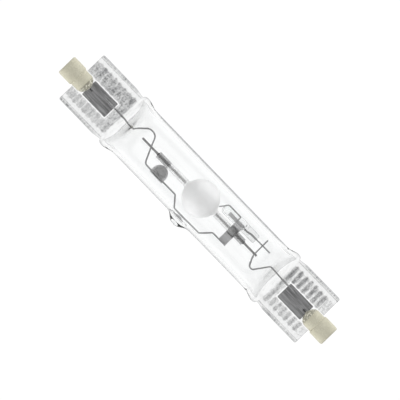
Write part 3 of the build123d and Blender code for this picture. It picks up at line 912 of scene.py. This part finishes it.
        # painted shade on the solid glass just past the waist, darker towards the sides, fading inwards
        cells = np.clip(lattice_noise(spread(x, 0.35 * y, z), 0.7, 8), 0, 1)
        tint = 0.1 + 0.35 * cells + 0.4 * smooth((np.abs(y) - width + 0.9) / 0.5)
        shade = np.where(past < 0, shade, tint * np.exp(-((past / 2.8) ** 2)))
        # painted shade along the outermost part of the seals and shoulders, where the glass is seen edge on
        outline = 0.7 * smooth((np.abs(across) - 0.96) / 0.03) * (1 - smooth((past - 3) / 6))
        wave = 1 + lattice_noise(spread(x, y, z), 7.0, 11) * 0.035 / self.bulb_radius
        rings = spread(x, self.bulb_offset + y * wave, z * wave)
        closing = (0.0, 0.4, 0.75)
        first = [rings[:1] * np.array([1, 1, share]) for share in closing]
        last = [rings[-1:] * np.array([1, 1, share]) for share in closing[::-1]]
        surface = ring_surface(np.concatenate([*first, rings, *last]))
        zero = np.zeros((len(closing), self.ring_points))
        # strength of the painted edge shade, darker on the +y side
        rim = 1.12 + 0.3 * np.clip(y / 8, -1, 1)
        surface.values = {
            "rim": np.concatenate([zero + 1, rim, zero + 1]).ravel(),
            "press": np.concatenate([zero, marked * (past < 0), zero]).ravel(),
            "shade": np.concatenate([zero, np.maximum(shade, outline), zero]).ravel(),
        }
        return surface.facing(True)

    def hollow(self) -> Surface:
        """The inner surface: a round bore whose ends close to an edge along a curved line.

        In a shoulder the hollow ends at a depth past the waist that falls with the square of the
        place across, so it reaches furthest out at the sides. Its height is the outer height less
        the wall, times a quarter sine over its first few millimetres.

        Returns:
            The surface, with the value shade, the painted shade in a band where it closes at each end.
        """
        angle = circle(self.hollow_points, 0.5)
        across, face = np.cos(angle), np.sign(np.sin(angle))
        grow = np.linspace(0, 1, self.hollow_rows)[:, None] ** 1.5
        reach = self.rise_start + self.rise_length
        ends = []
        for side, seal, shoulder in zip((-1, 1), self.seal_length, self.shoulder_length):
            start = shoulder * (self.hollow_end - self.hollow_bow * across**2)
            depth = start + (reach - start) * grow
            x = side * (self.seal_end - seal - depth)
            width, height, square = self.half_sizes(x)
            thick = self.bulb_wall * (1 + 0.45 * (1 - grow))
            tall = np.sin(pi / 2 * np.clip((depth - start) / self.hollow_closing, 0, 1)) ** 0.75
            tall = tall * (height - thick) * (1 - np.abs(across) ** square) ** (1 / square)
            ends.append(spread(x, (width - thick) * across, face * tall)[::-side])
        left, right = float(ends[0][-1, 0, 0]), float(ends[1][0, 0, 0])
        under, beyond = self.tip_place - 4, self.tip_place + 4
        spans = ((left, under, 9), (under, beyond, 31), (beyond, right, 9))
        rows = [np.linspace(*span) for span in spans]
        middle = np.concatenate([rows[0][1:-1], rows[1], rows[2][1:-1]])[:, None]
        bore = self.bulb_bore + 0.7 * self.tip_rise(middle, (angle - pi) * self.bulb_radius)
        whole = np.concatenate([ends[0], spread(middle, bore * across, bore * np.sin(angle)), ends[1]])
        wave = lattice_noise(whole, 9.0, 12)[..., None] * 0.004
        whole = whole * (1 + wave * np.array([0, 1, 1])) + np.array([0, self.bulb_offset, 0])
        surface = ring_surface(whole)
        # painted shade in a band where the hollow closes at each end
        painted_end_shade = 0.24 * (1 - smooth(grow / 0.4)) * np.ones(self.hollow_points)
        surface.values = {"shade": np.concatenate([painted_end_shade, 0 * bore, painted_end_shade[::-1]]).ravel()}
        return surface.facing(False)

    def build(self, channels: Sequence[tuple[Array, float]]) -> None:
        """Makes the glass in one piece.

        Args:
            channels: route and radius of each narrow gap that the glass leaves round a wire.
        """
        glass = self.outside().joined(self.hollow())
        for route, radius in channels:
            glass = glass.joined(tube_along(route, radius, 14).facing(False))
        glass.replace("outer_bulb", "quartz_bulb", QUARTZ)


@dataclass
class End(LampSizes):
    """One end of the lamp: ceramic cap, cement, foil, and the contact and lead of the solids."""

    side: int
    name: str
    half_length: float = 67.7
    head_radius: float = 4.075
    head_length: float = 6.0
    neck_radius: float = 3.65
    cap_length: float = 10.0
    bore_radius: float = 2.4
    seat_radius: float = 1.85
    recess: float = 1.7
    seat: float = 0.8
    cement_length: float = 2.1
    foil_half_width: float = 3.4

    def along(self, depth: Array) -> Array:
        """X at a depth in from this end of the lamp."""
        return self.side * (self.half_length - depth)

    def build_cap(self) -> None:
        """Turns the cap from a rounded profile, with the slight unevenness of pressed ceramic."""
        floor, recess, end = self.recess + self.seat, self.recess, self.cap_length
        head, neck, lip = self.head_radius, self.neck_radius, self.neck_radius - 0.22
        corners = [
            (floor, 0), (floor, self.seat_radius), (recess, self.seat_radius), (recess, self.bore_radius),
            (0, self.bore_radius), (0, head), (self.head_length, head), (self.head_length + 0.25, neck),
            (end - 0.35, neck), (end - 0.25, lip), (end, lip), (end, 0),
        ]
        radii = [0.04, 0.04, 0.04, 0.15, 0.7, 0.22, 0.15, 0.05, 0.05, 0.06]
        profile = rounded_route([(*corner, 0) for corner in corners], radii, 0.16)
        surface = turned(self.along(profile[:, 0]), profile[:, 1], count=112)
        points, seed = surface.points, 20 + self.side
        out = points * np.array([0.0, 1.0, 1.0])
        uneven = lattice_noise(points, 1.5, seed) * 0.022 + lattice_noise(points, 0.4, seed) * 0.008
        uneven = uneven * (np.linalg.norm(out, axis=1) > 1)
        grown = Surface(points + unit(out) * uneven[:, None], surface.quads).facing(True)
        grown.replace(f"{self.name}_cap", f"{self.name}_ceramic_cap", CAP_CERAMIC)

    def build_cement(self) -> None:
        """A dome of granular cement between the cap's neck and the seal, lumpy all over."""
        rows, count, root_length = 44, 120, 0.5
        share = np.linspace(0, 1, rows)
        depth = self.cap_length - 0.15 + (self.cement_length + 0.15) * share
        radius = (self.neck_radius - 0.2) * (1 - share**1.9) ** 0.72
        points, seed = turned(self.along(depth), radius, count=count).points, 30 + self.side
        lumps = lattice_noise(points, 0.75, seed) * 0.16 + lattice_noise(points, 0.33, seed) * 0.12
        centre = np.array([self.along(np.array(self.cap_length)), 0.0, 0.0])
        root = smooth(np.abs(points[:, 0] - centre[0]) / root_length)
        grown = points + unit(points - centre) * (lumps * root)[:, None]
        base = points[:count][None] * np.array([1, 0, 0])
        dome = ring_surface(np.concatenate([base, grown.reshape(rows, count, 3)])).facing(True)
        dome.replace(f"{self.name}_cement", f"{self.name}_cement_dome", CEMENT)

    def build_foil(self) -> None:
        """A strip of foil, thickest in the middle with feather edges, and slightly buckled."""
        inset = self.seal_end - self.foil_inset[self.side > 0]
        x = np.linspace(inset, inset - self.foil_length, 90)[:, None]
        trim = np.clip(1 - np.minimum(inset - x, x - inset + self.foil_length) / 0.3, 0, 1)
        width = self.foil_half_width - 0.3 * (1 - np.sqrt(1 - trim**2))
        angle = circle(72, 0.5)
        flat = spread(self.side * x, width * np.cos(angle), 0.0)
        buckle = lattice_noise(flat, 1.6, 40 + self.side) * 0.03
        rings = flat + spread(0.0, 0.0, buckle + self.foil_thickness / 2 * np.sin(angle))
        first, last = (flat[[row]] + spread(0.0, 0.0, buckle[row].mean()) for row in (0, -1))
        strip = ring_surface(np.concatenate([first, rings, last])).facing(True)
        strip.replace(f"{self.name}_foil", f"{self.name}_foil_strip", FOIL)

    def build(self) -> None:
        """Makes this end's pieces and dresses the carried-over ones."""
        self.build_cap()
        self.build_cement()
        self.build_foil()
        CONTACT.dress(f"{self.name}_contact")
        LEAD.dress(f"{self.name}_outer_lead")


@dataclass
class Burner(LampSizes):
    """The ceramic burner with its two capillaries, pins, frit, electrodes and dose.

    The clearer ceramic of the capillaries begins at clearer_from past the ball.
    """

    wall: float = 0.9
    tube: float = 1.285
    bore: float = 0.525
    blend: float = 1.2
    clearer_from: float = 0.6

    def profile(self, ball: float, tube: float, blend: float, x: Array) -> Array:
        """Radius at x: a sphere, then an arc that touches it and the tube, then the tube.

        Args:
            ball: the sphere's radius.
            tube: the tube's radius.
            blend: the arc's radius.
            x: places from the ball's middle.

        Returns:
            The radius at each place.
        """
        meet = sqrt((ball + blend) ** 2 - (tube + blend) ** 2)
        touch = meet * ball / (ball + blend)
        out = np.abs(x)
        sphere = np.sqrt(np.maximum(ball**2 - x**2, 0))
        arc = tube + blend - np.sqrt(np.maximum(blend**2 - (out - meet) ** 2, 0))
        return np.where(out < touch, sphere, np.where(out < meet, arc, tube))

    def places(self, ball: float) -> Array:
        """Places along the burner, close together where the ball curves most.

        Args:
            ball: the sphere's radius.

        Returns:
            The places from the ball's middle, in order.
        """
        neck, foot = ball * 0.98, ball * 1.14
        curved = ball * np.sin(np.linspace(0, 1.35, 36))
        straight = np.linspace(foot, self.burner_half, 16)[1:]
        half = np.concatenate([curved, np.linspace(neck, foot, 14)[1:], straight])
        return np.concatenate([-half[:0:-1], half])

    def build(self) -> None:
        """Makes the hollow ceramic body in one piece and dresses what is in it."""
        ball, hollow = self.ball_radius, self.ball_radius - self.wall
        outer, inner = self.places(ball), self.places(hollow)[::-1]
        skin = self.profile(ball, self.tube, self.blend, outer)
        lining = self.profile(hollow, self.bore, self.blend / 2, inner)
        along = self.burner_centre + np.concatenate([outer, inner])
        radius = np.concatenate([skin, lining])
        body = turned(along, radius, self.burner_offset, closed=True).facing(True)
        piece = body.replace("arc_tube", "ceramic_burner", BALL_ALUMINA)
        piece.data.materials.append(CAPILLARY_ALUMINA.make())
        middles = np.empty(len(piece.data.polygons) * 3)
        piece.data.polygons.foreach_get("center", middles)
        out = np.abs(middles[::3] / MM - self.burner_centre)
        clearer = out > self.ball_radius + self.clearer_from
        piece.data.polygons.foreach_set("material_index", clearer.astype(np.int32))
        for side in ("left", "right"):
            NIOBIUM.dress(f"{side}_niobium_pin")
            FRIT.dress(f"{side}_frit_seal")
            TUNGSTEN.dress(f"{side}_electrode")
        HALIDE.dress("halide_dose")


@dataclass
class StartingCapsule(LampSizes):
    """The small quartz capsule beside the burner, with its foil."""

    wall: float = 0.6
    end_radius: float = 0.8
    nose_share: float = 0.95
    fill_share: float = 0.8
    collapse: float = 0.05

    def quarter(self, radius: float, count: int) -> tuple[Array, Array]:
        """A quarter circle: r (1 - cos a) and r sin a, as a goes from 0 to a right angle."""
        turn = np.linspace(0, pi / 2, count)
        return radius * (1 - np.cos(turn)), radius * np.sin(turn)

    def build(self) -> None:
        """Turns the capsule: a domed end, a closed hollow and a solid end, not quite even.

        Both profiles run along quarter circles and straight lines.
        """
        size, length, end = self.uv_radius, self.uv_length, self.end_radius
        nose, run = size * self.nose_share, 39
        out, up = self.quarter(nose, 22)
        drop, back = (part[1:] for part in self.quarter(end, 12))
        straight = np.linspace(nose, length - end, run + 1)[1:]
        along = np.concatenate([[0.0], out, straight, length - end + back, [length]])
        radius = np.concatenate([[0.0], size - nose + up, np.full(run, size), size - drop, [0.0]])
        collapse = 1 - self.collapse * smooth((along - length + self.uv_seal + 0.4) / 1.5)
        outer = turned(self.uv_start + along, radius * collapse, self.uv_offset, 56).facing(True)
        inner, depth = size - self.wall, length - self.uv_seal - self.wall
        fill = inner * self.fill_share
        out, up = self.quarter(fill, 16)
        along = np.concatenate([[0.0], out, depth - fill + up, [depth]])
        radius = np.concatenate([[0.0], inner - fill + up, inner - out, [0.0]])
        hollow = turned(self.uv_start + self.wall + along, radius, self.uv_offset, 48).facing(False)
        # painted shade in streaks on the sealed end, which the press also dulls
        sealed = smooth((outer.points[:, 0] - self.uv_end + self.uv_seal + 0.4) / 0.8)
        streaks = np.clip(lattice_noise(outer.points * np.array([0.4, 1, 1]), 0.6, 61), 0, 1)
        outer.values = {"shade": sealed * (0.2 + 0.35 * streaks), "press": sealed * 0.4}
        outer.values["rim"] = np.ones(len(outer.points))
        outer.joined(hollow).replace("uv_capsule", "starting_capsule_glass", QUARTZ)
        STRAP.dress("uv_foil")


@dataclass
class Leads(LampSizes):
    """The bent wires inside the bulb, on the same routes as the solids."""

    pin_front: float = 0.44
    frame_radius: float = 0.3
    frame_level: float = -4.3
    frame_gap: float = 0.4
    right_radius: float = 0.275
    right_crossing: float = 3.15
    uv_lead_radius: float = 0.275
    uv_foil_end: float = 10.7
    starting_radius: float = 0.215
    strap_place: float = 16.6
    strap_half: float = 1.68
    strap_thickness: float = 0.15
    channel_gap: float = 0.1
    left_channel: tuple[float, float] = (-47.6, -39.6)
    right_channel: tuple[float, float] = (40.6, 47.0)

    def frame_route(self) -> Array:
        """The left lead: over the pin, under the ball and back up to the strap.

        Returns:
            Points along the wire's middle.
        """
        on_foil = self.foil_thickness / 2 + self.frame_radius
        over = self.pin_front + self.frame_radius
        inner = -self.seal_end + self.seal_length[0]
        run = self.burner_centre - self.burner_half - inner
        dip = self.bulb_offset - self.bulb_bore + self.frame_gap + self.frame_radius
        near, far = self.burner_centre - self.ball_radius, self.burner_centre + self.ball_radius
        corners = [
            (-self.seal_end + self.foil_inset[0] + self.foil_length - 4.4, self.burner_offset + 0.2, on_foil),
            (inner + 0.054 * run, self.burner_offset + 0.1, on_foil),
            (inner + 0.29 * run, self.burner_offset - 0.35, over),
            (inner + 0.64 * run, self.burner_offset + 6.0, over),
            (inner + 0.944 * run, self.frame_level - 0.1, over),
            (near - 0.45, self.frame_level, over),
            (near + 2.85, dip, over),
            (far + 1.45, dip + 0.1, over),
            (far + 4.8, self.frame_level + 0.15, over),
            (self.strap_place + self.strap_half, self.frame_level + 0.2, over),
        ]
        radii = [0.16 * run, 0.14 * run, 0.134 * run, 0.09 * run, 1.0, 0.8, 0.8, 1.0]
        return rounded_route(corners, radii, 0.3)

    def right_route(self) -> Array:
        """The right lead: from its foil down, round and up across the pin.

        Returns:
            Points along the wire's middle.
        """
        on_foil = self.foil_thickness / 2 + self.right_radius
        over = self.pin_front + self.right_radius
        inner = self.seal_end - self.seal_length[1]
        crossing = self.uv_end + self.right_crossing
        corners = [
            (self.seal_end - self.foil_inset[1] - self.foil_length + 3.4, self.burner_offset + 0.7, on_foil),
            (inner - 0.3, self.burner_offset + 0.85, on_foil),
            (crossing + 7.05, self.burner_offset + 1.05, over),
            (crossing + 2.15, self.burner_offset - 5.85, over),
            (crossing + 0.2, self.burner_offset - 0.5, over),
            (crossing, self.uv_offset + 2.8, over),
        ]
        return rounded_route(corners, [2.5, 2.2, 1.15, 2.5], 0.3)

    def starting_route(self) -> Array:
        """The antenna: from the ball over the capsule's shoulder, across it and to the strap.

        Returns:
            Points along the wire's middle.
        """
        lift = self.uv_radius + self.starting_radius
        rise = 0.8 * self.uv_radius
        beside = sqrt(lift**2 - rise**2)
        over = lift + self.strap_thickness + 0.12
        corner = self.strap_place - self.strap_half + 0.1
        lean, stand = radians(22), self.ball_radius + self.starting_radius
        corners = [
            (self.burner_centre + stand * cos(lean), self.burner_offset + stand * sin(lean), 1.1),
            (self.uv_start + 1.15, self.uv_offset + rise, beside + 0.05),
            (corner, self.uv_offset + rise, beside + 0.35),
            (corner, self.uv_offset + 0.9, over),
            (corner, self.uv_offset - 0.72, over),
            (self.strap_place + self.strap_half - 0.8, self.uv_offset - 0.72, over),
        ]
        return rounded_route(corners, [0.7, 0.3, 0.25, 0.3], 0.12)

    def capsule_lead_route(self) -> Array:
        """The capsule's lead, from its foil to the right lead.

        Returns:
            Points along the wire's middle.
        """
        behind = self.pin_front - self.uv_lead_radius
        level = self.foil_thickness / 2 + self.uv_lead_radius
        inner = self.uv_end - self.uv_seal
        corners = [
            (self.uv_start + self.uv_foil_end - 1.0, self.uv_offset - 0.3, level),
            (inner + 1.2, self.uv_offset - 0.3, level),
            (inner + 3.0, self.uv_offset, behind),
            (self.uv_end + self.right_crossing + 3.2, self.uv_offset + 0.2, behind),
        ]
        return rounded_route(corners, [1.5, 1.5], 0.25)

    def channels(self) -> list[tuple[Array, float]]:
        """The part of each lead's route inside the seal, with the gap's radius.

        Returns:
            A route and a radius for each seal.
        """
        found = []
        for route, radius, (start, stop) in (
            (self.frame_route(), self.frame_radius, self.left_channel),
            (self.right_route(), self.right_radius, self.right_channel),
        ):
            kept = route[(route[:, 0] > start) & (route[:, 0] < stop)]
            found.append((kept, radius + self.channel_gap))
        return found

    def build(self) -> None:
        """Makes the four wires."""
        for node, name, route, radius in (
            ("frame_wire", "frame_lead", self.frame_route(), self.frame_radius),
            ("right_lead_wire", "right_lead", self.right_route(), self.right_radius),
            ("starting_wire", "antenna_wire", self.starting_route(), self.starting_radius),
            ("uv_lead", "capsule_lead", self.capsule_lead_route(), self.uv_lead_radius),
        ):
            tube_along(route, radius).replace(node, name, WIRE)


@dataclass
class Getter:
    """The getter: a round pan of alloy on a flag of sheet, and the strap across the burner."""

    place: float = -16.5
    radius: float = 2.4
    level: float = -2.435
    back: float = 0.11
    thickness: float = 0.3
    channel: float = 0.13

    def build(self) -> None:
        """Turns the pan about Z, with its pressed ring, and dresses the flag and the strap."""
        radius, top, floor = self.radius, self.thickness, self.thickness - self.channel
        steps = [
            (0.0, 0.0), (radius, 0.0), (radius, top), (radius - 0.3, top), (radius - 0.42, floor),
            (radius - 1.2, floor), (radius - 1.32, top - 0.02), (0.0, top - 0.04),
        ]
        profile = rounded_route([(*step, 0) for step in steps], [0.04] * 6, 0.09)
        angle, out, up = circle(72), profile[:, :1], profile[:, 1:2]
        rings = spread(self.place + out * np.cos(angle), self.level + out * np.sin(angle), self.back + up)
        rings[..., 2] += lattice_noise(rings, 0.22, 51) * 0.02 * (up > 0.1) * (out < radius - 0.35)
        ring_surface(rings).facing(True).replace("getter_disc", "getter_pan", GETTER_ALLOY)
        GETTER_SHEET.dress("getter_holder")
        STRAP.dress("coupling_strap")


# Stage


@dataclass(frozen=True)
class Studio:
    """The pale floor, the soft boxes at both sides and the camera above the lamp."""

    mm_per_pixel: float = 0.3575
    pixels: int = 400
    turn: float = 46.02
    centre: tuple[float, float] = (0.39, 0.68)
    height: float = 0.5
    floor_radius: float = 1.2
    floor_sides: int = 64
    floor_drop: float = 0.00002
    fade: tuple[float, float] = (0.09, 0.3)
    glow: float = 0.84
    bounce: float = 0.42
    wall: tuple[float, float] = (0.25, 0.95)
    box_size: tuple[float, float] = (0.8, 0.26)
    box_place: tuple[float, float] = (0.47, 0.15)
    box_power: float = 2.15

    def camera(self) -> None:
        """Looks straight down on the lamp, turned as the photograph has it."""
        data = bpy.data.cameras.new("view")
        data.type = "ORTHO"
        data.ortho_scale = self.mm_per_pixel * self.pixels * MM
        data.clip_start, data.clip_end = 0.01, 10.0
        camera = bpy.data.objects.new("view", data)
        camera.location = (self.centre[0] * MM, self.centre[1] * MM, self.height)
        camera.rotation_euler = (0.0, 0.0, radians(self.turn))
        bpy.context.scene.collection.objects.link(camera)
        bpy.context.scene.camera = camera

    def floor(self) -> None:
        """A round floor just under the lamp: white to look at, pale to the light, with shadows.

        Camera, glossy and transmission rays see its glow, which fades outwards for the last two.
        """
        angle = circle(self.floor_sides)
        rim = spread(np.cos(angle) * self.floor_radius, np.sin(angle) * self.floor_radius, -self.floor_drop)
        mesh = bpy.data.meshes.new("floor")
        mesh.from_pydata(rim.tolist(), [], [list(range(self.floor_sides))])
        material = bpy.data.materials.new("pale_floor")
        material.use_nodes = True
        graph = Graph(material.node_tree)
        graph.tree.nodes.remove(graph.tree.nodes["Principled BSDF"])
        seen = graph.rays("Camera", "Glossy", "Transmission")
        place = graph.place()
        mottle = graph.feed(graph.put("TexNoise"), Vector=place, Scale=30.0)
        pale = graph.mix(mottle.outputs[0], grey(0.79), grey(0.82))
        matt = graph.feed(graph.put("BsdfDiffuse"), Color=graph.mix(seen, pale, grey(0.24)))
        away = graph.put("VectorMath", operation="LENGTH")
        graph.join(place, away.inputs[0])
        fade = graph.ranged(away.outputs["Value"], 0.0, 0.5, *self.fade)
        faded = graph.calc("MULTIPLY", graph.rays("Glossy", "Transmission"), fade)
        level = graph.calc("MULTIPLY", seen, graph.calc("SUBTRACT", self.glow, faded))
        glow = graph.feed(graph.put("Emission"), Strength=level)
        graph.show("AddShader", matt.outputs[0], glow.outputs[0])
        mesh.materials.append(material)
        floor = bpy.data.objects.new("floor", mesh)
        bpy.context.scene.collection.objects.link(floor)

    def world(self) -> None:
        """Soft light from all round. What glass and metal reflect darkens towards the horizon."""
        world = bpy.data.worlds.new("studio")
        bpy.context.scene.world = world
        world.use_nodes = True
        graph = Graph(world.node_tree)
        direction = graph.put("TexCoord").outputs["Generated"]
        parts = graph.feed(graph.put("SeparateXYZ"), Vector=direction)
        wall = graph.ranged(parts.outputs["Z"], *self.wall, 0.0, 0.6)
        plain = graph.mix(graph.rays("Camera"), self.bounce, 1.0, "FLOAT")
        level = graph.mix(graph.rays("Glossy", "Transmission"), plain, wall, "FLOAT")
        graph.feed(world.node_tree.nodes["Background"], Color=grey(1.0), Strength=level)

    def soft_box(self, name: str, side: int) -> None:
        """An oblong soft box that faces the lamp from one side, with its long side along it.

        Args:
            name: the light's name.
            side: +1 or -1, along Y.
        """
        data = bpy.data.lights.new(name, "AREA")
        data.shape, data.energy = "RECTANGLE", self.box_power
        data.size, data.size_y = self.box_size
        y, z = self.box_place[0] * side, self.box_place[1]
        lamp = bpy.data.objects.new(name, data)
        lamp.location = (0.0, y, z)
        lamp.rotation_euler = (float(np.arctan2(-y, z)), 0.0, 0.0)
        lamp.visible_glossy = lamp.visible_transmission = False
        bpy.context.scene.collection.objects.link(lamp)

    def build(self) -> None:
        """Sets up the view, the floor and the light."""
        bpy.context.scene.view_settings.view_transform = "Standard"
        self.camera()
        self.floor()
        self.world()
        self.soft_box("box_far", 1)
        self.soft_box("box_near", -1)


def main() -> None:
    logging.basicConfig(level=logging.INFO, format="%(name)s: %(message)s")
    Studio().build()
    leads = Leads()
    OuterBulb().build(leads.channels())
    End(-1, "left").build()
    End(1, "right").build()
    Burner().build()
    StartingCapsule().build()
    leads.build()
    Getter().build()


if __name__ == "__main__":
    main()
